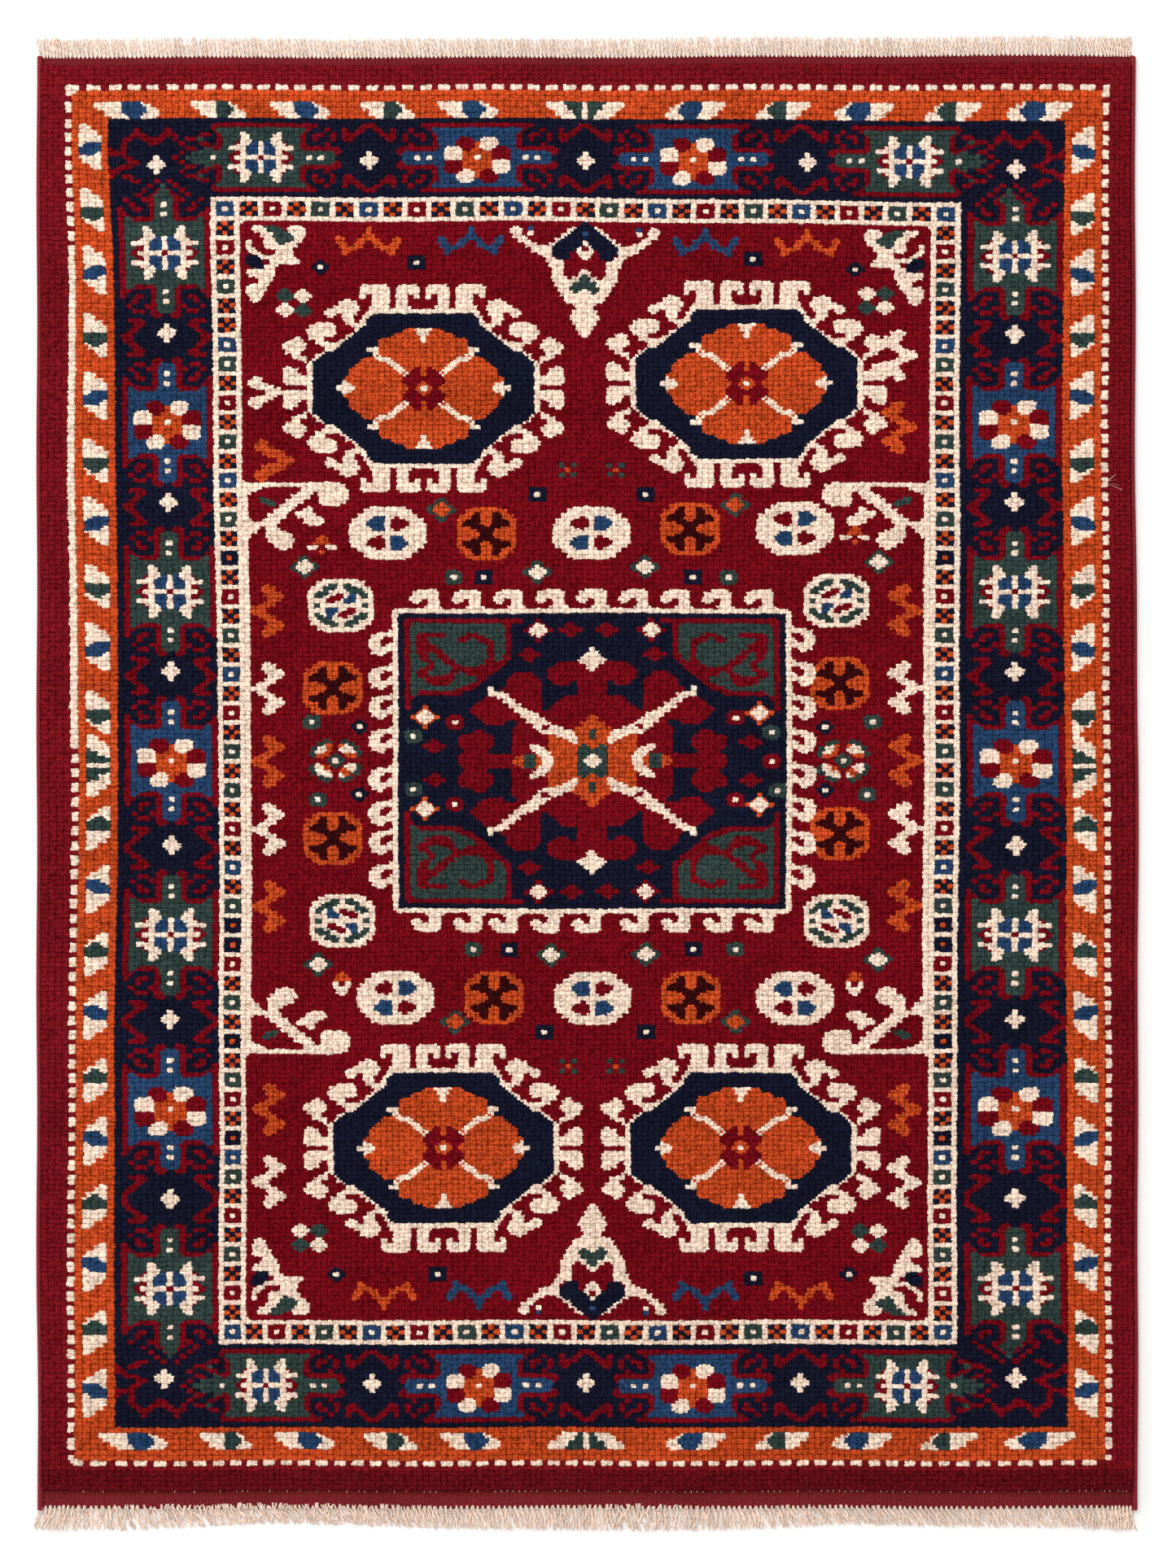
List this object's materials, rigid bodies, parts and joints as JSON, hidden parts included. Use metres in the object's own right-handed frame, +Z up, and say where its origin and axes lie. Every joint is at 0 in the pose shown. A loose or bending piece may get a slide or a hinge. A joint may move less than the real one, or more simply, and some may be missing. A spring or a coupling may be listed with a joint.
{
  "type": "area rug",
  "caption": "Hand-knotted wool area rug with hooked octagon and square medallions, patterned borders, flat-woven ends and cotton warp fringes.",
  "frame": {"origin": "centre of the footprint, on the surface the rug lies on", "axes": "+Z up through the pile, +Y along the length towards the end with the shorter fringe, +X across"},
  "size_m": [0.9144, 1.2408, 0.009],
  "materials": {
    "wool_madder": "matt cut wool pile, hand-knotted",
    "wool_orange": "matt cut wool pile, hand-knotted",
    "wool_navy": "matt cut wool pile, hand-knotted",
    "wool_ivory": "matt cut wool pile, hand-knotted",
    "warp": "undyed spun warp yarn",
    "weft": "madder-dyed flat weave and overcasting"
  },
  "bodies": {
    "root": {"pile_outer_top": "wool_madder", "pile_outer_bottom": "wool_madder", "pile_outer_left": "wool_madder", "pile_outer_right": "wool_madder", "pile_guard_top": "wool_orange", "pile_guard_bottom": "wool_orange", "pile_guard_left": "wool_orange", "pile_guard_right": "wool_orange", "pile_main_border_top": "wool_navy", "pile_main_border_bottom": "wool_navy", "pile_main_border_left": "wool_navy", "pile_main_border_right": "wool_navy", "pile_inner_guard_top": "wool_ivory", "pile_inner_guard_bottom": "wool_ivory", "pile_inner_guard_left": "wool_ivory", "pile_inner_guard_right": "wool_ivory", "pile_field_upper": "wool_madder", "pile_field_middle": "wool_madder", "pile_field_lower": "wool_madder", "pile_octagon_upper_left": "wool_navy", "pile_octagon_upper_right": "wool_navy", "pile_octagon_lower_left": "wool_navy", "pile_octagon_lower_right": "wool_navy", "pile_centre_square": "wool_navy", "foundation_weave": "warp", "kilim_end_top": "weft", "kilim_end_bottom": "weft", "selvedge_left": "weft", "selvedge_right": "weft", "fringe_top": "warp", "fringe_bottom": "warp"}
  },
  "joints": []
}
